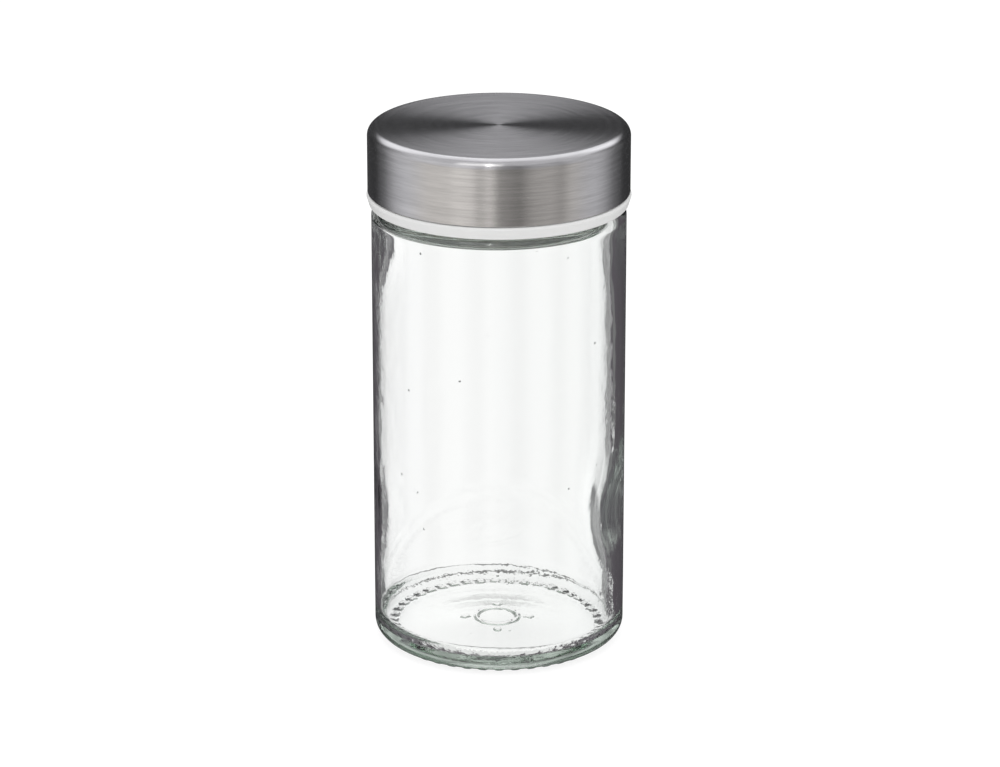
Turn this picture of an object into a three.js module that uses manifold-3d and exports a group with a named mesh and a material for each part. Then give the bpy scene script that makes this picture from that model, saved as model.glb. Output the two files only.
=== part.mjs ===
// Lidded glass canister: a moulded glass jar with a screw neck, closed by a two-piece lid.
// Millimetres, +Z up, origin on the axis at the plane the jar stands on.
//
//   glass_jar    round jar with a knurled foot, a shoulder and a right-hand screw neck
//   seal_liner   loose disc that lies on the neck's rim inside the cap
//   inner_cap    white cap with the matching thread and the flange seen below the steel
//   lid_shell    brushed steel cover pressed over the cap

import * as THREE from 'three';
import { mergeVertices } from 'three/addons/utils/BufferGeometryUtils.js';
import Module from 'manifold-3d';

// ---- Driving dimensions -------------------------------------------------------------

const HEIGHT = 105.5;            // foot to lid top
const JAR_RADIUS = 25.0;         // outside of the straight wall
const LID_RADIUS = 25.7;         // outside of the steel shell
const GAP = 0.3;                 // clearance between pieces that touch

const WALL = 1.8;                // glass wall
const FLOOR_EDGE = 2.7;          // top of the glass floor at its outer edge
const FLOOR_CENTRE = 3.7;        // top of the glass floor on the axis
const PUNT_RADIUS = 19.6;        // hollow under the floor
const PUNT_HEIGHT = 1.6;
const HEEL_RADIUS = 3.0;         // rounding between wall and foot
const FOOT_GROUND = 0.3;         // foot ring above the knurl tips
const INNER_CORNER = 3.6;        // rounding between floor and wall, inside

const SHOULDER_Z = 87.6;         // top of the straight wall
const SHOULDER_RADIUS = 2.2;
const NECK_RADIUS = 22.3;        // root of the neck thread
const BORE_RADIUS = 20.1;        // mouth of the jar
const THROAT_FOOT_Z = 86.85;     // where the inside starts to turn in under the shoulder
const THROAT_CORNER = 0.7;
const THROAT_SLOPE = 8;          // degrees that the inner shoulder rises towards the bore
const BORE_CORNER = 0.8;

const KNURL_COUNT = 44;
const KNURL_RING = 21.6;         // radius of the ring of knurls
const KNURL_LENGTH = 2.4;        // along the jar's radius
const KNURL_WIDTH = 1.7;
const MARK_RING = 4.0;           // radius of the raised ring under the floor
const MARK_DOTS = 6.3;           // radius at which its four dots lie

const THREAD_LEAD = 4.2;         // rise in one turn, right-hand
const JAR_THREAD_START = 92.6;   // height of the lower end of the neck thread
const JAR_THREAD_TURNS = 1.5;
const CAP_THREAD_FROM = 0.5;     // turns after the neck thread's start where the cap's starts
const CAP_THREAD_TURNS = 1.25;
const JAR_RIDGE = 1.2;           // radius of the neck thread's round section
const CAP_RIDGE = 1.1;           // radius of the cap thread's round section
const JAR_THREAD_CREST = 23.4;
const CAP_THREAD_CREST = 22.7;

const SHELL_THICKNESS = 0.4;
const SHELL_EDGE_Z = 92.4;       // lower edge of the steel
const SHELL_CORNER = 1.9;        // rounding of the lid's top edge

const CAP_WALL = 1.3;
const CAP_PLATE = 1.2;
const FLANGE_Z = 89.75;          // underside of the flange
const FLANGE_RADIUS = 25.9;      // widest, just below the steel
const FLANGE_FOOT_RADIUS = 25.5; // at its underside

const LINER_THICKNESS = 1.2;

const ROUND_SEGMENTS = 60;       // around every turned piece
const RIDGE_SEGMENTS = 8;        // around a thread's section
const RIDGE_STEPS_PER_TURN = 24;

// ---- Sizes worked out from them --------------------------------------------------------

const CAP_TOP = HEIGHT - SHELL_THICKNESS - GAP;
const CAP_PLATE_UNDERSIDE = CAP_TOP - CAP_PLATE;
const LINER_TOP = CAP_PLATE_UNDERSIDE - GAP;
const LINER_UNDERSIDE = LINER_TOP - LINER_THICKNESS;
const RIM_Z = LINER_UNDERSIDE - GAP;
const CAP_OUTER = LID_RADIUS - SHELL_THICKNESS - GAP;
const CAP_INNER = CAP_OUTER - CAP_WALL;
const LINER_RADIUS = CAP_INNER - GAP;

// ---- Solids ------------------------------------------------------------------------------

const manifold = await Module();
manifold.setup();

// A closed geometry with shared vertices and no collapsed triangles, as at a lathe's poles.
function weld(geometry) {
  const bare = geometry.index ? geometry.toNonIndexed() : geometry.clone();
  bare.deleteAttribute('normal');
  bare.deleteAttribute('uv');
  const welded = mergeVertices(bare, 1e-4);
  const corners = welded.index.array;
  const kept = [];
  for (let i = 0; i < corners.length; i += 3) {
    const [a, b, c] = [corners[i], corners[i + 1], corners[i + 2]];
    if (a !== b && b !== c && c !== a) {
      kept.push(a, b, c);
    }
  }
  welded.setIndex(kept);
  return welded;
}

function toSolid(geometry) {
  const welded = weld(geometry);
  return new manifold.Manifold(new manifold.Mesh({
    numProp: 3,
    vertProperties: new Float32Array(welded.attributes.position.array),
    triVerts: new Uint32Array(welded.index.array),
  }));
}

function toGeometry(solid) {
  const mesh = solid.getMesh();
  const geometry = new THREE.BufferGeometry();
  geometry.setAttribute('position', new THREE.BufferAttribute(mesh.vertProperties, 3));
  geometry.setIndex(new THREE.BufferAttribute(mesh.triVerts, 1));
  geometry.computeVertexNormals();
  return geometry;
}

function join(geometries) {
  const [first, ...others] = geometries.map(toSolid);
  return toGeometry(others.reduce((sum, solid) => sum.add(solid), first));
}

// Revolves an outline of [radius, z] points, taken from its lower to its upper end on the axis.
function turned(outline) {
  const points = outline.map(([radius, z]) => new THREE.Vector2(radius, z));
  return new THREE.LatheGeometry(points, ROUND_SEGMENTS).rotateX(Math.PI / 2);
}

// Points of a circular arc in the [radius, z] plane; angles in degrees from outward, up positive.
function arc(centreRadius, centreZ, size, startAngle, endAngle, steps) {
  const points = [];
  for (let i = 0; i <= steps; i += 1) {
    const angle = THREE.MathUtils.degToRad(startAngle + (endAngle - startAngle) * i / steps);
    points.push([centreRadius + size * Math.cos(angle), centreZ + size * Math.sin(angle)]);
  }
  return points;
}

// Points of a shallow dome from one radius to another, level on the axis.
function dome(innerRadius, innerZ, outerRadius, outerZ, steps) {
  const points = [];
  for (let i = 0; i <= steps; i += 1) {
    const radius = innerRadius + (outerRadius - innerRadius) * i / steps;
    const blend = (1 - Math.cos(Math.PI * i / steps)) / 2;
    points.push([radius, innerZ + (outerZ - innerZ) * blend]);
  }
  return points;
}

// ---- Threads -----------------------------------------------------------------------------

class Helix extends THREE.Curve {
  constructor(radius, startZ, startTurn, turns) {
    super();
    Object.assign(this, { radius, startZ, startTurn, turns });
  }

  getPoint(t) {
    const angle = 2 * Math.PI * (this.startTurn + this.turns * t);
    const z = this.startZ + THREAD_LEAD * this.turns * t;
    return new THREE.Vector3(this.radius * Math.cos(angle), this.radius * Math.sin(angle), z);
  }
}

// One ridge of round section along a right-hand helix, with a ball at each end.
function threadRidge(radius, startZ, startTurn, turns, sectionRadius) {
  const path = new Helix(radius, startZ, startTurn, turns);
  const section = new THREE.Shape().absarc(0, 0, sectionRadius, 0, 2 * Math.PI, false);
  const ridge = new THREE.ExtrudeGeometry(section, {
    steps: Math.round(RIDGE_STEPS_PER_TURN * turns),
    curveSegments: RIDGE_SEGMENTS,
    bevelEnabled: false,
    extrudePath: path,
  });
  const ends = [0, 1].map((t) => {
    const end = path.getPoint(t);
    return new THREE.SphereGeometry(sectionRadius, RIDGE_SEGMENTS, 6).translate(end.x, end.y, end.z);
  });
  return [ridge, ...ends];
}

// ---- Pieces ------------------------------------------------------------------------------

function jarBody() {
  const heelCentre = JAR_RADIUS - HEEL_RADIUS;
  const innerRadius = JAR_RADIUS - WALL;
  const shoulderCentre = JAR_RADIUS - SHOULDER_RADIUS;
  const neckFoot = SHOULDER_Z + SHOULDER_RADIUS;
  const rim = (NECK_RADIUS - BORE_RADIUS) / 2;
  const corners = THROAT_CORNER + BORE_CORNER;
  const slope = THREE.MathUtils.degToRad(THROAT_SLOPE);
  const reach = innerRadius - BORE_RADIUS - corners * (1 - Math.sin(slope));
  const throatTop = THROAT_FOOT_Z + corners * Math.cos(slope) + reach * Math.tan(slope);
  return turned([
    ...dome(0, PUNT_HEIGHT, PUNT_RADIUS, FOOT_GROUND, 4),
    ...arc(heelCentre, FOOT_GROUND + HEEL_RADIUS, HEEL_RADIUS, -90, 0, 4),
    ...arc(shoulderCentre, SHOULDER_Z, SHOULDER_RADIUS, 0, 90, 3),
    [NECK_RADIUS, neckFoot],
    ...arc(NECK_RADIUS - rim, RIM_Z - rim, rim, 0, 180, 4),
    ...arc(BORE_RADIUS + BORE_CORNER, throatTop, BORE_CORNER, 180, 270 - THROAT_SLOPE, 2),
    ...arc(innerRadius - THROAT_CORNER, THROAT_FOOT_Z, THROAT_CORNER, 90 - THROAT_SLOPE, 0, 2),
    ...arc(innerRadius - INNER_CORNER, FLOOR_EDGE + INNER_CORNER, INNER_CORNER, 0, -90, 3),
    ...dome(innerRadius - INNER_CORNER, FLOOR_EDGE, 0, FLOOR_CENTRE, 3).slice(1),
  ]);
}

// Short radial bars under the foot, flat at their tips.
function knurls() {
  const bury = 0.6;
  const bars = [];
  for (let i = 0; i < KNURL_COUNT; i += 1) {
    const height = FOOT_GROUND + bury;
    bars.push(new THREE.BoxGeometry(KNURL_LENGTH, KNURL_WIDTH, height)
      .translate(KNURL_RING, 0, height / 2)
      .rotateZ(2 * Math.PI * i / KNURL_COUNT));
  }
  return bars;
}

// Raised ring with a dot at each quarter, under the floor.
function floorMark() {
  const relief = 0.35;
  const dotSize = 0.55;
  const surface = (radius) => {
    const blend = (1 - Math.cos(Math.PI * radius / PUNT_RADIUS)) / 2;
    return PUNT_HEIGHT + (FOOT_GROUND - PUNT_HEIGHT) * blend;
  };
  const ring = new THREE.TorusGeometry(MARK_RING, relief, 6, 32).translate(0, 0, surface(MARK_RING));
  const dots = [0, 1, 2, 3].map((quarter) => new THREE.SphereGeometry(dotSize, 8, 6)
    .translate(MARK_DOTS, 0, surface(MARK_DOTS))
    .rotateZ(quarter * Math.PI / 2));
  return [ring, ...dots];
}

function glassJar() {
  const ridgeRadius = JAR_THREAD_CREST - JAR_RIDGE;
  return join([
    jarBody(),
    ...threadRidge(ridgeRadius, JAR_THREAD_START, 0, JAR_THREAD_TURNS, JAR_RIDGE),
    ...knurls(),
    ...floorMark(),
  ]);
}

function innerCap() {
  const corner = SHELL_CORNER - SHELL_THICKNESS - GAP;
  const flangeTop = SHELL_EDGE_Z - GAP;
  const edge = 0.3;
  const body = turned([
    [0, CAP_PLATE_UNDERSIDE],
    [CAP_INNER, CAP_PLATE_UNDERSIDE],
    [CAP_INNER, FLANGE_Z + edge],
    [CAP_INNER + edge, FLANGE_Z],
    [FLANGE_FOOT_RADIUS - edge, FLANGE_Z],
    [FLANGE_FOOT_RADIUS, FLANGE_Z + edge],
    ...arc(FLANGE_RADIUS - edge, flangeTop - edge, edge, 0, 90, 2),
    [CAP_OUTER, flangeTop],
    ...arc(CAP_OUTER - corner, CAP_TOP - corner, corner, 0, 90, 3),
    [0, CAP_TOP],
  ]);
  const ridgeRadius = CAP_THREAD_CREST + CAP_RIDGE;
  const startZ = JAR_THREAD_START + THREAD_LEAD * (CAP_THREAD_FROM - 0.5);
  const ridge = threadRidge(ridgeRadius, startZ, CAP_THREAD_FROM, CAP_THREAD_TURNS, CAP_RIDGE);
  return join([body, ...ridge]);
}

function lidShell() {
  const inside = LID_RADIUS - SHELL_THICKNESS;
  const innerCorner = SHELL_CORNER - SHELL_THICKNESS;
  const centre = LID_RADIUS - SHELL_CORNER;
  const centreZ = HEIGHT - SHELL_CORNER;
  return weld(turned([
    [0, HEIGHT - SHELL_THICKNESS],
    ...arc(centre, centreZ, innerCorner, 90, 0, 3),
    [inside, SHELL_EDGE_Z],
    [LID_RADIUS, SHELL_EDGE_Z],
    ...arc(centre, centreZ, SHELL_CORNER, 0, 90, 4),
    [0, HEIGHT],
  ]));
}

function sealLiner() {
  const edge = 0.2;
  return weld(turned([
    [0, LINER_UNDERSIDE],
    [LINER_RADIUS - edge, LINER_UNDERSIDE],
    [LINER_RADIUS, LINER_UNDERSIDE + edge],
    [LINER_RADIUS, LINER_TOP - edge],
    [LINER_RADIUS - edge, LINER_TOP],
    [0, LINER_TOP],
  ]));
}

// ---- Assembly ----------------------------------------------------------------------------

function piece(name, geometry, color, roughness, metalness) {
  const material = new THREE.MeshStandardMaterial({ color, roughness, metalness });
  const mesh = new THREE.Mesh(geometry, material);
  mesh.name = name;
  return mesh;
}

const lid = new THREE.Group();
lid.add(
  piece('lid_shell', lidShell(), 0xb9b2a8, 0.3, 1),
  piece('inner_cap', innerCap(), 0xf0f0ee, 0.4, 0),
  piece('seal_liner', sealLiner(), 0xf7f5ee, 0.7, 0),
);

const canister = new THREE.Group();
canister.add(piece('glass_jar', glassJar(), 0xe8f2ec, 0.05, 0), lid);

export default canister;
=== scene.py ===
"""Lidded glass canister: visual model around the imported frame. Metres, +Z up."""

import math

import bpy
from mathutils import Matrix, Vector, noise

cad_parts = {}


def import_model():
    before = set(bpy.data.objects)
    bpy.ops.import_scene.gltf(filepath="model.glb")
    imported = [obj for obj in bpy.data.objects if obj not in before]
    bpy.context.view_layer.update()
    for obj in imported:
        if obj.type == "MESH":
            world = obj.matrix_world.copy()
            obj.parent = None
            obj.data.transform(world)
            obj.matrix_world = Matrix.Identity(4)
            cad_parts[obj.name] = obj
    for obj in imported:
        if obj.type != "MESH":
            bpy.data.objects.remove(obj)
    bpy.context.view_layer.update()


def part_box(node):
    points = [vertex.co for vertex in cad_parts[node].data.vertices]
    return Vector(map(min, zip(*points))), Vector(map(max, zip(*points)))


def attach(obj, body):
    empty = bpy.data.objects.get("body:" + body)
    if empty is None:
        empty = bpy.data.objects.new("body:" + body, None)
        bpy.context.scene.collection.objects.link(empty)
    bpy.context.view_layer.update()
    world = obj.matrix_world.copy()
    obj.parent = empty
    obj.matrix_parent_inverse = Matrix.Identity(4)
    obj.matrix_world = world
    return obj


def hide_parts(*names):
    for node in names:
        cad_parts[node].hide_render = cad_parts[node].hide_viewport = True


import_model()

MM = 0.001

# ---- Sizes taken from the frame ---------------------------------------------------------

jar_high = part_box("glass_jar")[1]
shell_low, shell_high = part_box("lid_shell")
cap_low, cap_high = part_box("inner_cap")
liner_low, liner_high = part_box("seal_liner")

JAR_RADIUS = jar_high[0]
RIM_Z = jar_high[2]
SHELL_RADIUS = shell_high[0]
SHELL_EDGE_Z = shell_low[2]
LID_TOP_Z = shell_high[2]
FLANGE_RADIUS = cap_high[0]
FLANGE_Z = cap_low[2]
CAP_TOP_Z = cap_high[2]
LINER_RADIUS = liner_high[0]
LINER_LOW_Z = liner_low[2]
LINER_TOP_Z = liner_high[2]

# ---- Sizes shared with the CAD model, and finer ones -----------------------------------------

WALL = 1.8 * MM
FLOOR_EDGE = 2.7 * MM
FLOOR_CENTRE = 3.7 * MM
PUNT_RADIUS = 19.6 * MM
PUNT_HEIGHT = 1.6 * MM
HEEL_RADIUS = 3.0 * MM
FOOT_GROUND = 0.3 * MM
INNER_CORNER = 3.6 * MM
SHOULDER_Z = 87.6 * MM
SHOULDER_RADIUS = 2.2 * MM
NECK_RADIUS = 22.3 * MM
BORE_RADIUS = 20.1 * MM

THROAT_FOOT_Z = 86.85 * MM       # where the inside starts to turn in under the shoulder
THROAT_CORNER = 0.7 * MM
THROAT_SLOPE = 8.0               # degrees that the inner shoulder rises towards the bore
BORE_CORNER = 0.8 * MM

KNURL_COUNT = 44
KNURL_RING = 21.6 * MM
KNURL_LENGTH = 2.4 * MM
KNURL_WIDTH = 1.7 * MM
KNURL_EDGE = 0.85 * MM           # how wide the slope around a knurl is

MARK_RING = 4.0 * MM
MARK_DOTS = 6.3 * MM
MARK_DOT_COUNT = 4
MARK_HEIGHT = 0.3 * MM
MARK_LINE = (0.55 * MM, 0.15 * MM)     # half widths of the ring's line, at its foot and its crest
MARK_DOT = (0.95 * MM, 0.4 * MM)       # radii of a dot, at its foot and its crest

SEAM_HEIGHT = 0.03 * MM
SEAM_HALF_WIDTH = 0.45 * MM

THREAD_LEAD = 4.2 * MM
THREAD_START_Z = 92.6 * MM
JAR_THREAD_TURNS = 1.5
CAP_THREAD_FROM = 0.5
CAP_THREAD_TURNS = 1.25
THREAD_MESH = 0.5                # turns by which the cap's ridge lags behind the jar's
THREAD_HALF_WIDTH = 1.15 * MM
THREAD_CREST = 0.35              # half width of the crest, as a share of THREAD_HALF_WIDTH
THREAD_END = (-0.03, 0.05)       # turns over which an end of a thread rises
THREAD_LAPS = range(-1, 4)       # whole turns to look for the ridge in
JAR_THREAD_HEIGHT = 1.1 * MM
CAP_THREAD_HEIGHT = 1.0 * MM

SHELL_THICKNESS = 0.4 * MM
SHELL_CORNER = 1.9 * MM
CAP_PLATE = 1.2 * MM
CAP_INNER = 23.7 * MM

GAP = 0.05 * MM                  # between parts of the lid that touch
THREAD_STEP = 0.28 * MM          # along a surface that a thread stands on

JAR_COLUMNS = KNURL_COUNT * 12
LID_COLUMNS = 288
LINER_COLUMNS = 144

SAME = 1e-7                      # points nearer than this, in metres, are one


# ---- Outlines in the (radius, z) plane --------------------------------------------------------

def run(start, end, step):
    """Points of a straight stretch, without its last one."""
    count = max(1, round(math.dist(start, end) / step))
    return [tuple(s + (e - s) * i / count for s, e in zip(start, end)) for i in range(count)]


def arc(centre, size, start_angle, end_angle, steps):
    """Points of an arc, both ends included; angles in degrees from outward, up positive."""
    points = []
    for i in range(steps + 1):
        angle = math.radians(start_angle + (end_angle - start_angle) * i / steps)
        points.append((centre[0] + size * math.cos(angle), centre[1] + size * math.sin(angle)))
    return points


def dome(inner, outer, steps):
    """Points of a shallow dome, level on the axis and at its edge."""
    points = []
    for i in range(steps + 1):
        share = (1 - math.cos(math.pi * i / steps)) / 2
        radius = inner[0] + (outer[0] - inner[0]) * i / steps
        points.append((radius, inner[1] + (outer[1] - inner[1]) * share))
    return points


def chain(*stretches):
    """Joins stretches of (region, points), dropping points that repeat the one before."""
    outline = []
    for region, points in stretches:
        for point in points:
            if not outline or math.dist(outline[-1][1], point) > SAME:
                outline.append((region, point))
    return outline


def revolve(name, outline, columns, shift=None):
    """A closed mesh from an outline that starts and ends on the axis.

    shift(region, radius, z, angle) gives the radial and the vertical offset of a point.
    """
    verts = []
    rings = []
    for region, (radius, z) in outline:
        if radius < SAME:
            rings.append([len(verts)] * columns)
            verts.append((0.0, 0.0, z))
            continue
        rings.append([len(verts) + i for i in range(columns)])
        for i in range(columns):
            angle = 2 * math.pi * i / columns
            out, up = shift(region, radius, z, angle) if shift else (0.0, 0.0)
            moved = radius + out
            verts.append((moved * math.cos(angle), moved * math.sin(angle), z + up))
    faces = []
    for low, high in zip(rings, rings[1:]):
        for i in range(columns):
            j = (i + 1) % columns
            corners = [low[i], low[j], high[j], high[i]]
            faces.append([c for k, c in enumerate(corners) if c != corners[k - 1]])
    mesh = bpy.data.meshes.new(name)
    mesh.from_pydata(verts, [], faces)
    mesh.validate()
    mesh.shade_smooth()
    piece = bpy.data.objects.new(name, mesh)
    bpy.context.scene.collection.objects.link(piece)
    return piece


def smoothstep(low, high, value):
    """0 at low, 1 at high, smooth between them and flat beyond; low may be above high."""
    t = min(1.0, max(0.0, (value - low) / (high - low)))
    return t * t * (3 - 2 * t)


def turn_gap(angle, centre):
    """The signed angle from centre to angle, from -pi to pi."""
    return (angle - centre + math.pi) % (2 * math.pi) - math.pi


# ---- Relief on the turned shapes -----------------------------------------------------------------

def thread_profile(z, angle, from_turn, turns, start_z):
    """From 0 to 1, how far the ridge of a right-hand thread stands out at a point."""
    best = 0.0
    for lap in THREAD_LAPS:
        turn = angle / (2 * math.pi) + lap
        along = turn - from_turn
        fade = smoothstep(*THREAD_END, along) * smoothstep(*THREAD_END, turns - along)
        if fade <= 0:
            continue
        off = (z - (start_z + THREAD_LEAD * along)) / THREAD_HALF_WIDTH
        best = max(best, fade * smoothstep(1.0, THREAD_CREST, abs(off)))
    return best


def knurl_profile(radius, angle):
    """From 0 to 1, how far a knurl stands down at a point of the foot."""
    off = abs(turn_gap(angle * KNURL_COUNT, 0)) / KNURL_COUNT * radius - KNURL_WIDTH / 2
    beyond = abs(radius - KNURL_RING) - KNURL_LENGTH / 2
    half = KNURL_EDGE / 2
    return smoothstep(half, -half, off) * smoothstep(half, -half, beyond)


def floor_mark(radius, angle):
    """From 0 to 1, the raised ring with four dots under the floor."""
    ring = smoothstep(*MARK_LINE, abs(radius - MARK_RING))
    turn = abs(turn_gap(angle * MARK_DOT_COUNT, 0)) / MARK_DOT_COUNT
    dot = smoothstep(*MARK_DOT, math.hypot(radius - MARK_DOTS, turn * radius))
    return max(ring, dot)


OFF_CENTRE = 0.6 * MM            # the hollow sits this much towards -X in the glass

# Kinds of waves: height, width and length.
SWELL = (0.06 * MM, 14 * MM, 60 * MM)       # long waves of the inside
CHATTER = (0.012 * MM, 2.2 * MM, 4 * MM)    # small waves of the inside
PEBBLE = (0.08 * MM, 0.8 * MM, 0.8 * MM)    # the rough ring at the corner of the floor
MOTTLE = (0.022 * MM, 2.0 * MM, 1.2 * MM)   # the uneven skin of the heel

PEBBLE_Z = 3.6 * MM
PEBBLE_REACH = 0.8 * MM
FLOOR_SWELL = 0.5                # how much of the swell the floor has
WAVES_FROM = (FLOOR_EDGE, FLOOR_EDGE + 4 * MM)                   # heights where the waves set in
WAVES_TO = (THROAT_FOOT_Z + 10 * MM, THROAT_FOOT_Z + 3 * MM)     # and where they have stopped

# Thick places that the glass settled into: angle in degrees, height, half width in degrees,
# half height and depth.
THICK_PLACES = (
    (2, 27 * MM, 30, 7.5 * MM, 1.10 * MM),
    (2, 80 * MM, 20, 6 * MM, 0.30 * MM),
    (180, 26 * MM, 24, 8 * MM, 0.19 * MM),
    (184, 83 * MM, 26, 7 * MM, 0.60 * MM),
    (4, 14 * MM, 24, 8 * MM, 0.12 * MM),
    (78, 52 * MM, 25, 12 * MM, 0.20 * MM),
)


def ripple(kind, radius, z, angle):
    """A smooth random height of one kind of wave at a point of a turned surface."""
    height, width, length = kind
    place = Vector((radius * math.cos(angle) / width, radius * math.sin(angle) / width, z / length))
    return height * noise.noise(place)


def wall_waves(radius, z, angle):
    """How far the inside of the wall stands out from its mean radius."""
    out = ripple(SWELL, radius, z, angle) + ripple(CHATTER, radius, z, angle)
    out -= OFF_CENTRE * math.cos(angle)
    for centre, centre_z, half_turn, half_height, depth in THICK_PLACES:
        turn = turn_gap(angle, math.radians(centre)) / math.radians(half_turn)
        out -= depth * math.exp(-turn ** 2 - ((z - centre_z) / half_height) ** 2)
    return out


def jar_shift(region, radius, z, angle):
    """Radial and vertical offset of a point of the jar, for revolve."""
    if region == "foot":
        return 0.0, -FOOT_GROUND * knurl_profile(radius, angle)
    if region == "heel":
        return ripple(MOTTLE, radius, z, angle), 0.0
    if region == "punt":
        return 0.0, -MARK_HEIGHT * floor_mark(radius, angle)
    if region == "neck":
        height = thread_profile(z, angle, 0.0, JAR_THREAD_TURNS, THREAD_START_Z)
        return JAR_THREAD_HEIGHT * height, 0.0
    if region == "wall":
        seam = min(abs(turn_gap(angle, 0)), abs(turn_gap(angle, math.pi))) * radius
        return SEAM_HEIGHT * smoothstep(SEAM_HALF_WIDTH, 0.0, seam), 0.0
    if region in ("inside", "bore"):
        out = wall_waves(radius, z, angle) * smoothstep(*WAVES_FROM, z) * smoothstep(*WAVES_TO, z)
        near = math.exp(-((z - PEBBLE_Z) / PEBBLE_REACH) ** 2)
        rough = ripple(PEBBLE, radius, z, angle) * near
        return out + rough, rough
    if region == "floor":
        return 0.0, ripple(SWELL, radius, z, angle) * FLOOR_SWELL
    return 0.0, 0.0


# ---- Materials -------------------------------------------------------------------------------------

WHITE = (1.0, 1.0, 1.0, 1.0)

GLASS_IOR = 1.52
GLASS_TINT = (0.58, 0.88, 0.66, 1.0)
GLASS_TINT_DENSITY = 10.0
PEEL_SCALE = 260.0               # the faint unevenness of the whole surface, waves in each metre
PEEL_HEIGHT = 0.4 * MM
PEEL_STRENGTH = 0.04
ROUGH_SCALE = 1300.0             # the grain of rough glass, waves in each metre
ROUGH_HEIGHT = 0.012 * MM
PATCH_SCALE = 45.0               # patches of rough glass on the inside, in each metre
PATCH_NOISE = (0.5, 0.62)        # noise from which a patch starts and is full
CORNER_ROUGHNESS = 7.0           # of the ring at the corner of the floor, where a patch has 1
SEED_DENSITY = 110.0             # tiny bubbles in each metre, along a line
SEED_RADIUS = 0.25 * MM

# Strokes of the steel brush: pitch, reach, noise detail and noise roughness.
FINE_STROKES = (0.55 * MM, 12 * MM, 3.0, 0.8)
BROAD_STROKES = (0.4 * MM, 60 * MM, 1.0, 0.5)
BROAD_SHARE = 0.05
STEEL_NOISE = (0.3, 0.7)         # noise that gives the darkest and the lightest stroke
STEEL_DARK = (0.51, 0.50, 0.495, 1.0)
STEEL_LIGHT = (0.69, 0.675, 0.67, 1.0)
STEEL_ROUGHNESS = (0.20, 0.22)
STROKE_HEIGHT = 0.01 * MM
STROKE_STRENGTH = 0.08

CAP_LIGHT = (0.78, 0.78, 0.775, 1.0)
CAP_DARK = (0.73, 0.73, 0.725, 1.0)
LINER_LIGHT = (0.86, 0.85, 0.80, 1.0)
LINER_DARK = (0.78, 0.77, 0.72, 1.0)
MOULD_GRAIN_STRENGTH = 0.3
MOTTLE_SIZE = 8                  # of a moulded surface's mottle, in grains


def material(name):
    """A node material: itself, its Principled shader, a node maker and a linker."""
    made = bpy.data.materials.new(name)
    made.use_nodes = True
    tree = made.node_tree
    shader = tree.nodes["Principled BSDF"]

    def node(kind, **values):
        new = tree.nodes.new(kind)
        for key, value in values.items():
            if hasattr(new, key):
                setattr(new, key, value)
            else:
                new.inputs[key.replace("_", " ")].default_value = value
        return new

    return made, shader, node, tree.links.new


def map_range(node, source, target):
    """A node that turns the range source into the range target."""
    new = node("ShaderNodeMapRange")
    new.inputs["From Min"].default_value, new.inputs["From Max"].default_value = source
    new.inputs["To Min"].default_value, new.inputs["To Max"].default_value = target
    return new


def around_axis(node, link, place):
    """The height of a place, and the place seen along the axis."""
    split = node("ShaderNodeSeparateXYZ")
    flat = node("ShaderNodeCombineXYZ")
    link(place, split.inputs["Vector"])
    link(split.outputs["X"], flat.inputs["X"])
    link(split.outputs["Y"], flat.inputs["Y"])
    return split.outputs["Z"], flat.outputs["Vector"]


def length(node, link, vector):
    """How long a vector is."""
    new = node("ShaderNodeVectorMath", operation="LENGTH")
    link(vector, new.inputs[0])
    return new.outputs["Value"]


def joined(node, link, operation, first, second):
    """The result of a maths node on two values, each an output or a number."""
    new = node("ShaderNodeMath", operation=operation)
    for socket, value in zip(new.inputs, (first, second)):
        if isinstance(value, float):
            socket.default_value = value
        else:
            link(value, socket)
    return new.outputs["Value"]


def rough_places(node, link, place):
    """How rough the glass is: in patches and at the corner of the floor, inside the jar only."""
    height, flat = around_axis(node, link, place)
    radius = length(node, link, flat)
    patches = node("ShaderNodeTexNoise", Scale=PATCH_SCALE, Detail=1.0)
    patchy = map_range(node, PATCH_NOISE, (0.0, 1.0))
    link(place, patches.inputs["Vector"])
    link(patches.outputs["Fac"], patchy.inputs["Value"])
    above_corner = joined(node, link, "SUBTRACT", height, PEBBLE_Z)
    from_corner = joined(node, link, "ABSOLUTE", above_corner, 0.0)
    corner = map_range(node, (PEBBLE_REACH, 2 * PEBBLE_REACH), (CORNER_ROUGHNESS, 0.0))
    link(from_corner, corner.inputs["Value"])
    off_floor = joined(node, link, "GREATER_THAN", radius, JAR_RADIUS - WALL - INNER_CORNER)
    corner_ring = joined(node, link, "MULTIPLY", corner.outputs["Result"], off_floor)
    places = joined(node, link, "MAXIMUM", patchy.outputs["Result"], corner_ring)
    grain = node("ShaderNodeTexNoise", Scale=ROUGH_SCALE, Detail=1.0)
    link(place, grain.inputs["Vector"])
    rough = joined(node, link, "MULTIPLY", grain.outputs["Fac"], places)
    inside = joined(node, link, "LESS_THAN", radius, JAR_RADIUS - WALL / 4)
    return joined(node, link, "MULTIPLY", rough, inside)


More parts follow.
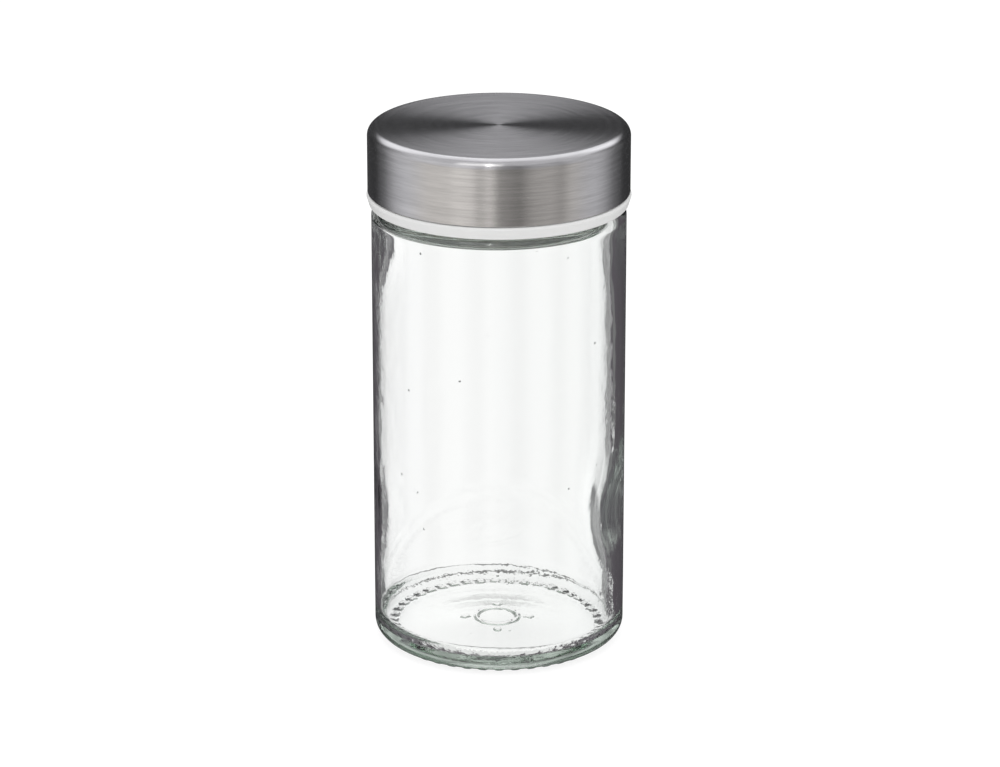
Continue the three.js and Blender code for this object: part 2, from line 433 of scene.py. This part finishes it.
def glass_material():
    """Clear glass, green where it is thick, with a few tiny bubbles and an uneven surface."""
    made, shader, node, link = material("jar_glass")
    shader.inputs["Base Color"].default_value = WHITE
    shader.inputs["Roughness"].default_value = 0.0
    shader.inputs["IOR"].default_value = GLASS_IOR
    shader.inputs["Transmission Weight"].default_value = 1.0
    place = node("ShaderNodeTexCoord").outputs["Object"]
    seeds = node("ShaderNodeTexVoronoi", Scale=SEED_DENSITY)
    seed = map_range(node, (0.0, SEED_RADIUS * SEED_DENSITY), (1.0, 0.0))
    seed_bump = node("ShaderNodeBump", Strength=1.0, Distance=SEED_RADIUS)
    link(place, seeds.inputs["Vector"])
    link(seeds.outputs["Distance"], seed.inputs["Value"])
    link(seed.outputs["Result"], seed_bump.inputs["Height"])
    rough_bump = node("ShaderNodeBump", Strength=1.0, Distance=ROUGH_HEIGHT)
    link(rough_places(node, link, place), rough_bump.inputs["Height"])
    link(seed_bump.outputs["Normal"], rough_bump.inputs["Normal"])
    peel = node("ShaderNodeTexNoise", Scale=PEEL_SCALE, Detail=2.0, Roughness=0.5)
    peel_bump = node("ShaderNodeBump", Strength=PEEL_STRENGTH, Distance=PEEL_HEIGHT)
    link(place, peel.inputs["Vector"])
    link(peel.outputs["Fac"], peel_bump.inputs["Height"])
    link(rough_bump.outputs["Normal"], peel_bump.inputs["Normal"])
    link(peel_bump.outputs["Normal"], shader.inputs["Normal"])
    tint = node("ShaderNodeVolumeAbsorption")
    tint.inputs["Color"].default_value = GLASS_TINT
    tint.inputs["Density"].default_value = GLASS_TINT_DENSITY
    link(tint.outputs["Volume"], made.node_tree.nodes["Material Output"].inputs["Volume"])
    return made


def steel_material():
    """Steel brushed in circles: fine grooves around the axis on the top and on the side."""
    made, shader, node, link = material("brushed_lid_steel")
    shader.inputs["Metallic"].default_value = 1.0
    shader.inputs["Anisotropic"].default_value = 0.9
    shader.inputs["Anisotropic Rotation"].default_value = 0.25     # across the grooves
    place = node("ShaderNodeTexCoord").outputs["Object"]
    height, flat = around_axis(node, link, place)
    radius = length(node, link, flat)
    outward = node("ShaderNodeVectorMath", operation="NORMALIZE")
    link(flat, outward.inputs[0])
    lift = node("ShaderNodeCombineXYZ")
    link(height, lift.inputs["Z"])

    def strokes(pitch, reach, detail, roughness):
        """Noise drawn out around the axis: pitch across the grooves, reach along them."""
        along = node("ShaderNodeVectorMath", operation="SCALE")
        along.inputs["Scale"].default_value = SHELL_RADIUS * pitch / reach
        link(outward.outputs["Vector"], along.inputs[0])
        spot = node("ShaderNodeVectorMath", operation="ADD")
        link(along.outputs["Vector"], spot.inputs[0])
        link(lift.outputs["Vector"], spot.inputs[1])
        grain = node("ShaderNodeTexNoise", noise_dimensions="4D", Scale=1 / pitch, Detail=detail)
        grain.inputs["Roughness"].default_value = roughness
        link(spot.outputs["Vector"], grain.inputs["Vector"])
        link(radius, grain.inputs["W"])
        return grain.outputs["Fac"]

    fine = strokes(*FINE_STROKES)
    broad = strokes(*BROAD_STROKES)
    mixed = node("ShaderNodeMix", data_type="FLOAT", Factor=BROAD_SHARE)
    link(fine, mixed.inputs["A"])
    link(broad, mixed.inputs["B"])
    tone = node("ShaderNodeValToRGB")
    ends = zip(tone.color_ramp.elements, STEEL_NOISE, (STEEL_DARK, STEEL_LIGHT))
    for element, position, colour in ends:
        element.position = position
        element.color = colour
    link(mixed.outputs["Result"], tone.inputs["Fac"])
    link(tone.outputs["Color"], shader.inputs["Base Color"])
    sheen = map_range(node, STEEL_NOISE, STEEL_ROUGHNESS)
    link(broad, sheen.inputs["Value"])
    link(sheen.outputs["Result"], shader.inputs["Roughness"])
    bump = node("ShaderNodeBump", Strength=STROKE_STRENGTH, Distance=STROKE_HEIGHT)
    link(fine, bump.inputs["Height"])
    link(bump.outputs["Normal"], shader.inputs["Normal"])
    tangent = node("ShaderNodeTangent", direction_type="RADIAL", axis="Z")
    link(tangent.outputs["Tangent"], shader.inputs["Tangent"])
    return made


def moulded_material(name, light, dark, roughness, grain_scale, grain_depth):
    """Moulded plastic or foam: a faint mottle of colour and a fine grain."""
    made, shader, node, link = material(name)
    shader.inputs["Roughness"].default_value = roughness
    place = node("ShaderNodeTexCoord").outputs["Object"]
    mottle = node("ShaderNodeTexNoise", Scale=grain_scale / MOTTLE_SIZE, Detail=3.0)
    grain = node("ShaderNodeTexNoise", Scale=grain_scale, Detail=2.0)
    for texture in (mottle, grain):
        link(place, texture.inputs["Vector"])
    tone = node("ShaderNodeValToRGB")
    for element, colour in zip(tone.color_ramp.elements, (dark, light)):
        element.color = colour
    link(mottle.outputs["Fac"], tone.inputs["Fac"])
    link(tone.outputs["Color"], shader.inputs["Base Color"])
    bump = node("ShaderNodeBump", Strength=MOULD_GRAIN_STRENGTH, Distance=grain_depth)
    link(grain.outputs["Fac"], bump.inputs["Height"])
    link(bump.outputs["Normal"], shader.inputs["Normal"])
    return made


# ---- Pieces ------------------------------------------------------------------------------------------

def finish_piece(piece, surface, body, node):
    piece.data.materials.append(surface)
    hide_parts(node)
    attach(piece, body)


def glass_jar():
    """The jar: foot, wall, shoulder and neck outside, then back down the inside to the floor."""
    inner = JAR_RADIUS - WALL
    heel = (JAR_RADIUS - HEEL_RADIUS, FOOT_GROUND + HEEL_RADIUS)
    shoulder = (JAR_RADIUS - SHOULDER_RADIUS, SHOULDER_Z)
    neck_foot = SHOULDER_Z + SHOULDER_RADIUS
    rim = (NECK_RADIUS - BORE_RADIUS) / 2
    foot_arc_end = -50           # degrees below outward; the heel's skin starts a little further up
    slope = math.radians(THROAT_SLOPE)
    reach = inner - BORE_RADIUS - (THROAT_CORNER + BORE_CORNER) * (1 - math.sin(slope))
    rise = (THROAT_CORNER + BORE_CORNER) * math.cos(slope) + reach * math.tan(slope)
    throat_top_z = THROAT_FOOT_Z + rise
    bore_turn = (BORE_RADIUS + BORE_CORNER, throat_top_z)
    throat_turn = (inner - THROAT_CORNER, THROAT_FOOT_Z)
    corner = (inner - INNER_CORNER, FLOOR_EDGE + INNER_CORNER)
    outline = chain(
        ("punt", dome((0.0, PUNT_HEIGHT), (PUNT_RADIUS, FOOT_GROUND), 60)),
        ("foot", run((PUNT_RADIUS, FOOT_GROUND), (heel[0], FOOT_GROUND), 0.15 * MM)),
        ("foot", arc(heel, HEEL_RADIUS, -90, foot_arc_end, 12)),
        ("heel", arc(heel, HEEL_RADIUS, foot_arc_end + 2, 0, 10)),
        ("wall", run((JAR_RADIUS, heel[1]), (JAR_RADIUS, SHOULDER_Z), 8.0 * MM)),
        ("shoulder", arc(shoulder, SHOULDER_RADIUS, 0, 90, 14)),
        ("neck", run((NECK_RADIUS, neck_foot), (NECK_RADIUS, RIM_Z - rim), THREAD_STEP)),
        ("rim", arc((NECK_RADIUS - rim, RIM_Z - rim), rim, 0, 180, 14)),
        ("bore", run((BORE_RADIUS, RIM_Z - rim), (BORE_RADIUS, throat_top_z), 1.0 * MM)),
        ("bore", arc(bore_turn, BORE_CORNER, 180, 270 - THROAT_SLOPE, 8)),
        ("inside", arc(throat_turn, THROAT_CORNER, 90 - THROAT_SLOPE, 0, 8)),
        ("inside", run((inner, THROAT_FOOT_Z), (inner, corner[1]), 0.5 * MM)),
        ("inside", arc(corner, INNER_CORNER, 0, -90, 30)),
        ("floor", dome((corner[0], FLOOR_EDGE), (0.0, FLOOR_CENTRE), 40)),
    )
    piece = revolve("canister_glass", outline, JAR_COLUMNS, jar_shift)
    finish_piece(piece, glass_material(), "jar", "glass_jar")


def cap_shift(region, radius, z, angle):
    """Radial and vertical offset of a point of the cap, for revolve."""
    if region != "thread":
        return 0.0, 0.0
    start_z = THREAD_START_Z + THREAD_LEAD * (CAP_THREAD_FROM - THREAD_MESH)
    height = thread_profile(z, angle, CAP_THREAD_FROM, CAP_THREAD_TURNS, start_z)
    return -CAP_THREAD_HEIGHT * height, 0.0


def threaded_cap():
    """The white cap inside the steel: plate, thread, foot, flange and skirt."""
    skirt = SHELL_RADIUS - SHELL_THICKNESS - GAP
    plate_z = CAP_TOP_Z - CAP_PLATE
    edge = 0.3 * MM
    lip = 0.7 * MM
    foot = FLANGE_RADIUS - 0.4 * MM
    flange_top = SHELL_EDGE_Z - GAP
    corner = SHELL_CORNER - SHELL_THICKNESS
    top = CAP_TOP_Z
    outline = chain(
        ("plate", run((0.0, plate_z), (CAP_INNER - edge, plate_z), 2.0 * MM)),
        ("plate", arc((CAP_INNER - edge, plate_z - edge), edge, 90, 0, 4)),
        ("thread", run((CAP_INNER, plate_z - edge), (CAP_INNER, FLANGE_Z + edge), THREAD_STEP)),
        ("foot", arc((CAP_INNER + edge, FLANGE_Z + edge), edge, 180, 270, 5)),
        ("foot", run((CAP_INNER + edge, FLANGE_Z), (foot - lip, FLANGE_Z), 0.3 * MM)),
        ("foot", arc((foot - lip, FLANGE_Z + lip), lip, -90, 0, 8)),
        ("flange", run((foot, FLANGE_Z + lip), (FLANGE_RADIUS, flange_top - lip), 0.3 * MM)),
        ("flange", arc((FLANGE_RADIUS - lip, flange_top - lip), lip, 0, 90, 8)),
        ("flange", run((FLANGE_RADIUS - lip, flange_top), (skirt, flange_top), 0.2 * MM)),
        ("skirt", run((skirt, flange_top), (skirt, top - corner), 1.0 * MM)),
        ("skirt", arc((skirt - corner, top - corner), corner, 0, 90, 8)),
        ("top", run((skirt - corner, top), (0.0, top), 2.0 * MM) + [(0.0, top)]),
    )
    surface = moulded_material("cap_plastic", CAP_LIGHT, CAP_DARK, roughness=0.38,
                               grain_scale=2600.0, grain_depth=0.01 * MM)
    piece = revolve("threaded_cap", outline, LID_COLUMNS, cap_shift)
    finish_piece(piece, surface, "lid", "inner_cap")


def steel_cover():
    """The drawn steel cover: inside, hem, side, rounded corner and top."""
    inner_corner = SHELL_CORNER - SHELL_THICKNESS
    inside = SHELL_RADIUS - SHELL_THICKNESS
    centre = (SHELL_RADIUS - SHELL_CORNER, LID_TOP_Z - SHELL_CORNER)
    hem = SHELL_THICKNESS / 2
    under_z = LID_TOP_Z - SHELL_THICKNESS
    outline = chain(
        ("under", run((0.0, under_z), (centre[0], under_z), 2.0 * MM)),
        ("under", arc(centre, inner_corner, 90, 0, 10)),
        ("under", run((inside, centre[1]), (inside, SHELL_EDGE_Z + hem), 1.0 * MM)),
        ("hem", arc((inside + hem, SHELL_EDGE_Z + hem), hem, 180, 360, 10)),
        ("side", run((SHELL_RADIUS, SHELL_EDGE_Z + hem), (SHELL_RADIUS, centre[1]), 0.6 * MM)),
        ("corner", arc(centre, SHELL_CORNER, 0, 90, 24)),
        ("top", run((centre[0], LID_TOP_Z), (0.0, LID_TOP_Z), 0.8 * MM) + [(0.0, LID_TOP_Z)]),
    )
    piece = revolve("steel_cover", outline, LID_COLUMNS)
    finish_piece(piece, steel_material(), "lid", "lid_shell")


def liner_disc():
    """The loose foam disc that seals the rim."""
    edge = 0.3 * MM
    low, high = LINER_LOW_Z, LINER_TOP_Z
    outline = chain(
        ("low", run((0.0, low), (LINER_RADIUS - edge, low), 1.0 * MM)),
        ("edge", arc((LINER_RADIUS - edge, low + edge), edge, -90, 0, 5)),
        ("edge", arc((LINER_RADIUS - edge, high - edge), edge, 0, 90, 5)),
        ("high", run((LINER_RADIUS - edge, high), (0.0, high), 1.0 * MM) + [(0.0, high)]),
    )
    surface = moulded_material("liner_foam", LINER_LIGHT, LINER_DARK, roughness=0.75,
                               grain_scale=1500.0, grain_depth=0.05 * MM)
    piece = revolve("liner_disc", outline, LINER_COLUMNS)
    finish_piece(piece, surface, "seal", "seal_liner")


# ---- Studio ------------------------------------------------------------------------------------------

SKY_LIGHT = 0.75
SKY_SEEN = 1.1
SURROUND_RADIUS = 3.0
SURROUND_STEP = 1                # degrees
CROSSED_WALLS = 3.5              # glass surfaces passed: 4 across both walls, 2 or 3 within one


def surround(name, tones, glossy, transmission):
    """A sphere around the whole studio that only some rays see.

    tones(azimuth, elevation), in degrees with azimuth from +Y towards +X, gives two colours:
    one for light that crosses both walls of the glass, and one for light that stays in a wall.
    """
    columns = 360 // SURROUND_STEP
    rows = range(-90, 91, SURROUND_STEP)
    verts = []
    colours = []
    for elevation in rows:
        up = math.radians(min(89.9, max(-89.9, elevation)))
        flat = SURROUND_RADIUS * math.cos(up)
        for i in range(columns):
            azimuth = i * SURROUND_STEP - 180.0
            side = math.radians(azimuth)
            verts.append((flat * math.sin(side), flat * math.cos(side), SURROUND_RADIUS * math.sin(up)))
            colours.append(tones(azimuth, elevation))
    faces = []
    for row in range(len(rows) - 1):
        base = row * columns
        for i in range(columns):
            j = (i + 1) % columns
            faces.append((base + i, base + j, base + columns + j, base + columns + i))
    mesh = bpy.data.meshes.new(name)
    mesh.from_pydata(verts, [], faces)
    for which, layer_name in enumerate(("across", "within")):
        layer = mesh.color_attributes.new(layer_name, "FLOAT_COLOR", "POINT")
        for i, colour in enumerate(colours):
            layer.data[i].color = (*colour[which], 1.0)
    mesh.materials.append(surround_material(name))
    shell = bpy.data.objects.new(name, mesh)
    bpy.context.scene.collection.objects.link(shell)
    shell.visible_camera = False
    shell.visible_diffuse = False
    shell.visible_shadow = False
    shell.visible_volume_scatter = False
    shell.visible_glossy = glossy
    shell.visible_transmission = transmission


def surround_material(name):
    """Glows in the mesh's two colours, chosen by how many glass surfaces the light passed."""
    made = bpy.data.materials.new(name)
    made.use_nodes = True
    made.cycles.emission_sampling = "NONE"
    tree = made.node_tree
    tree.nodes.clear()
    path = tree.nodes.new("ShaderNodeLightPath")
    crossed = tree.nodes.new("ShaderNodeMath")
    crossed.operation = "GREATER_THAN"
    crossed.inputs[1].default_value = CROSSED_WALLS
    mix = tree.nodes.new("ShaderNodeMix")
    mix.data_type = "RGBA"
    for layer_name, side in (("within", "A"), ("across", "B")):
        layer = tree.nodes.new("ShaderNodeAttribute")
        layer.attribute_name = layer_name
        tree.links.new(layer.outputs["Color"], mix.inputs[side])
    glow = tree.nodes.new("ShaderNodeEmission")
    out = tree.nodes.new("ShaderNodeOutputMaterial")
    tree.links.new(path.outputs["Transmission Depth"], crossed.inputs[0])
    tree.links.new(crossed.outputs["Value"], mix.inputs["Factor"])
    tree.links.new(mix.outputs["Result"], glow.inputs["Color"])
    tree.links.new(glow.outputs["Emission"], out.inputs["Surface"])
    return made


def grey(level):
    """A colour without hue."""
    return (level, level, level)


def band(value, low, high, blur):
    """1 between low and high, 0 outside, blurred by that much on either side of each."""
    return smoothstep(low - blur, low + blur, value) * smoothstep(high + blur, high - blur, value)


def blend(start, end, amount):
    """A colour on the way from start to end."""
    return [a + (b - a) * amount for a, b in zip(start, end)]


# ---- What the light in the glass meets ---------------------------------------------------------------

# Bright windows and one grey card: azimuths of both edges and their blur in degrees, brightness.
WINDOWS = (
    (-13.5, 21.5, 1.0, 1.02),
    (21.5, 32, 1.0, 0.20),
    (-54, -38, 4.0, 1.02),
    (-103, -77, 6.0, 1.02),
    (-148, -122, 6.0, 1.02),
    (122, 148, 6.0, 1.02),
    (167, 193, 6.0, 1.02),
    (-193, -167, 6.0, 1.02),
    (78, 102, 6.0, 1.02),
)
MIDDLE_WINDOW = (-15, 21.5, 1.0)       # where the two brighter sides below are seen
LEFT_SIDE = (3, 9, 0.22)               # degrees left where it starts and is full, how much brighter
RIGHT_SIDE = (9, 18, 0.10)
DARK = (0.088, 0.084, 0.092)
DARK_WITHIN = (0.096, 0.084, 0.097)    # for light that stays in a wall; redder, to offset the tint
SIDE_CARD = (30, 40, 0.5)              # degrees either side where it starts and is full, its grey
TABLE = (-21, -26, 1.02)               # elevations where it starts and is full, its grey
TABLE_SHADE = (-35.2, -33.4, 0.5, 0.12)      # a thin dark ring on the table: its edges, blur, grey
CEILING = (20, 40, 0.45)

# For light that stays in a wall:
SLOT_SIDES = (36, 42, 1.0)             # degrees either side, and their blur
SLOT_HEIGHT = (-20.5, -19.85, 0.12)
SLOT_DARK = 0.20
SLOT_LIGHT = 0.75                      # added to SLOT_DARK inside the slot
CEILING_WITHIN = (8, 20, 0.40)
CEILING_CLOUDS = (12, 9, 0.30)         # width and height in degrees, and how much they change
TABLE_WITHIN = (-52, -62, 0.80)


def seen_through_glass(azimuth, elevation):
    """Bright windows with darker cards between them, a white table and a grey ceiling."""
    start, full, level = SIDE_CARD
    across = blend(DARK, grey(level), smoothstep(start, full, abs(azimuth)))
    for low, high, blur, brightness in WINDOWS:
        across = blend(across, grey(brightness), band(azimuth, low, high, blur))
    left_start, left_full, left_more = LEFT_SIDE
    right_start, right_full, right_more = RIGHT_SIDE
    more = left_more * smoothstep(left_start, left_full, -azimuth)
    more += right_more * smoothstep(right_start, right_full, azimuth)
    more *= band(azimuth, *MIDDLE_WINDOW)
    across = [tone * (1 + more) for tone in across]
    start, full, level = TABLE
    across = blend(across, grey(level), smoothstep(start, full, elevation))
    low, high, blur, level = TABLE_SHADE
    across = blend(across, grey(level), band(elevation, low, high, blur))
    start, full, level = CEILING
    across = blend(across, grey(level), smoothstep(start, full, elevation))

    slot = SLOT_DARK + SLOT_LIGHT * band(elevation, *SLOT_HEIGHT)
    within = blend(DARK_WITHIN, grey(slot), band(abs(azimuth), *SLOT_SIDES))
    start, full, level = CEILING_WITHIN
    width, height, change = CEILING_CLOUDS
    level += change * noise.noise(Vector((azimuth / width, elevation / height, 0.0)))
    within = blend(within, grey(level), smoothstep(start, full, elevation))
    start, full, level = TABLE_WITHIN
    within = blend(within, grey(level), smoothstep(start, full, elevation))
    return across, within


# ---- What the steel mirrors --------------------------------------------------------------------------

# Brightness of the room: azimuth from -Y towards +X in degrees, level.
ROOM = (
    (-180, 0.06), (-135, 0.05), (-118, 0.20), (-101, 0.60), (-88, 0.74), (-45, 0.80), (-36, 0.90),
    (-24, 0.84), (-17, 0.58), (-8, 0.78), (-4, 0.60), (0, 0.36), (18, 0.24), (30, 0.44), (46, 0.50),
    (56, 0.40), (66, 0.62), (92, 0.64), (102, 0.52), (118, 0.20), (138, 0.05), (165, 0.04), (180, 0.06),
)
COOL = (0.97, 0.98, 1.03)
WARM = (1.03, 1.00, 0.96)
WARM_BELOW = (10, -10)                 # elevations where the room starts to turn warm and is warm
WARM_SIDES = (90, 60)                  # and degrees from the front
BEHIND = (100, 140)                    # degrees from the front where the back of the room begins
SKY_FRONT = 0.76
SKY_BEHIND = 0.64                      # added to SKY_FRONT behind
SKY_TOP = (42, 60, 0.12)               # elevations where it dims and has dimmed, and by what share
HORIZON_FRONT = 36                     # elevation where the soft light overhead begins
HORIZON_BEHIND = 21
HORIZON_BLUR = 12
LAMPS = ((-43, 3, 3, 1.0), (-12, -8, 2, 5.0))      # azimuths of both edges, blur, brightness
LAMP_HEIGHT = (38, 56, 3)
TABLE_BELOW = (-64, -72, 2.5)          # elevations where it starts and is full, brightness


def room_level(azimuth):
    """Brightness of the room at an azimuth, between the entries of ROOM."""
    for (low, low_level), (high, high_level) in zip(ROOM, ROOM[1:]):
        if azimuth <= high:
            return low_level + (high_level - low_level) * (azimuth - low) / (high - low)
    return ROOM[-1][1]


def tinted(tint, level):
    """A tint at a brightness."""
    return [level * part for part in tint]


def seen_in_steel(azimuth, elevation):
    """The room around, lamps in front of the lid, and a cool soft light overhead."""
    front = (-azimuth) % 360 - 180
    level = room_level(front)
    warm = smoothstep(*WARM_BELOW, elevation) * smoothstep(*WARM_SIDES, abs(front))
    colour = blend(tinted(COOL, level), tinted(WARM, level), warm)
    behind = smoothstep(*BEHIND, abs(front))
    start, full, share = SKY_TOP
    sky = (SKY_FRONT + SKY_BEHIND * behind) * (1 - share * smoothstep(start, full, elevation))
    horizon = HORIZON_FRONT + (HORIZON_BEHIND - HORIZON_FRONT) * behind
    above = smoothstep(horizon, horizon + HORIZON_BLUR, elevation)
    colour = blend(colour, tinted(COOL, sky), above)
    lamps = sum(brightness * band(front, low, high, blur) for low, high, blur, brightness in LAMPS)
    start, full, level = TABLE_BELOW
    more = lamps * band(elevation, *LAMP_HEIGHT) + level * smoothstep(start, full, elevation)
    colour = [part + more for part in colour]
    return colour, colour


# ---- Floor, world, light and camera ------------------------------------------------------------------

FLOOR_SIZE = 8.0
FLOOR_CUTS = 24
FLOOR_GREY = 0.20
FLOOR_GLOW = 0.86                # the photo's floor is white with hardly a shadow

OVERHEAD_DISTANCE = 2.0
OVERHEAD_SIZE = 2.5
OVERHEAD_POWER = 30.0
OVERHEAD_ELEVATION = 89          # degrees

CAMERA_DISTANCE = 0.820
CAMERA_ELEVATION = 19.05         # degrees
CAMERA_AIM = Vector((0.0002, 0.0, 0.0523))
CAMERA_LENS = 148.7              # millimetres, for a sensor 36 wide


def floor():
    """A pale sheet of paper that gives a little light of its own."""
    wide = FLOOR_CUTS + 1
    places = [FLOOR_SIZE * (i / FLOOR_CUTS - 0.5) for i in range(wide)]
    verts = [(x, y, 0.0) for x in places for y in places]
    faces = [(i * wide + j, (i + 1) * wide + j, (i + 1) * wide + j + 1, i * wide + j + 1)
             for i in range(FLOOR_CUTS) for j in range(FLOOR_CUTS)]
    mesh = bpy.data.meshes.new("floor")
    mesh.from_pydata(verts, [], faces)
    made, shader = material("floor_paper")[:2]
    shader.inputs["Base Color"].default_value = (FLOOR_GREY, FLOOR_GREY, FLOOR_GREY, 1.0)
    shader.inputs["Roughness"].default_value = 0.9
    shader.inputs["Specular IOR Level"].default_value = 0.0
    shader.inputs["Emission Color"].default_value = WHITE
    shader.inputs["Emission Strength"].default_value = FLOOR_GLOW
    mesh.materials.append(made)
    paper = bpy.data.objects.new("floor", mesh)
    bpy.context.scene.collection.objects.link(paper)
    paper.visible_glossy = False
    paper.visible_transmission = False


def world():
    """White all round: brighter where the camera sees it than as a light."""
    sky = bpy.data.worlds.new("studio")
    sky.use_nodes = True
    tree = sky.node_tree
    background = tree.nodes["Background"]
    background.inputs["Color"].default_value = WHITE
    path = tree.nodes.new("ShaderNodeLightPath")
    strength = tree.nodes.new("ShaderNodeMapRange")
    strength.inputs["To Min"].default_value = SKY_LIGHT
    strength.inputs["To Max"].default_value = SKY_SEEN
    tree.links.new(path.outputs["Is Camera Ray"], strength.inputs["Value"])
    tree.links.new(strength.outputs["Result"], background.inputs["Strength"])
    sky.cycles.sampling_method = "NONE"
    bpy.context.scene.world = sky


def overhead():
    """One large soft light, almost straight above and aimed at the foot of the jar."""
    lamp = bpy.data.lights.new("overhead", "AREA")
    lamp.shape = "RECTANGLE"
    lamp.size = OVERHEAD_SIZE
    lamp.size_y = OVERHEAD_SIZE
    lamp.energy = OVERHEAD_POWER
    unit = bpy.data.objects.new("overhead", lamp)
    bpy.context.scene.collection.objects.link(unit)
    elevation = math.radians(OVERHEAD_ELEVATION)
    unit.location = OVERHEAD_DISTANCE * Vector((0.0, -math.cos(elevation), math.sin(elevation)))
    unit.rotation_euler = (-unit.location).to_track_quat("-Z", "Y").to_euler()
    unit.visible_glossy = False
    unit.visible_transmission = False


def camera():
    """In front at the photo's height, with a long lens."""
    elevation = math.radians(CAMERA_ELEVATION)
    lens = bpy.data.cameras.new("camera")
    lens.sensor_width = 36.0
    lens.lens = CAMERA_LENS
    unit = bpy.data.objects.new("camera", lens)
    bpy.context.scene.collection.objects.link(unit)
    towards = Vector((0.0, -math.cos(elevation), math.sin(elevation)))
    unit.location = CAMERA_AIM + CAMERA_DISTANCE * towards
    unit.rotation_euler = (CAMERA_AIM - unit.location).to_track_quat("-Z", "Y").to_euler()
    bpy.context.scene.camera = unit


def render_look():
    """Plain colours, and enough bounces for light that is trapped in the glass."""
    scene = bpy.context.scene
    scene.view_settings.view_transform = "Standard"
    scene.view_settings.look = "None"
    scene.cycles.max_bounces = 32
    scene.cycles.transmission_bounces = 32
    scene.cycles.glossy_bounces = 16
    scene.cycles.transparent_max_bounces = 32
    scene.cycles.caustics_reflective = True
    scene.cycles.caustics_refractive = True
    scene.cycles.use_denoising = True


camera()
world()
floor()
surround("seen_through_glass", seen_through_glass, False, True)
surround("seen_in_steel", seen_in_steel, True, False)
overhead()

glass_jar()
threaded_cap()
steel_cover()
liner_disc()
render_look()
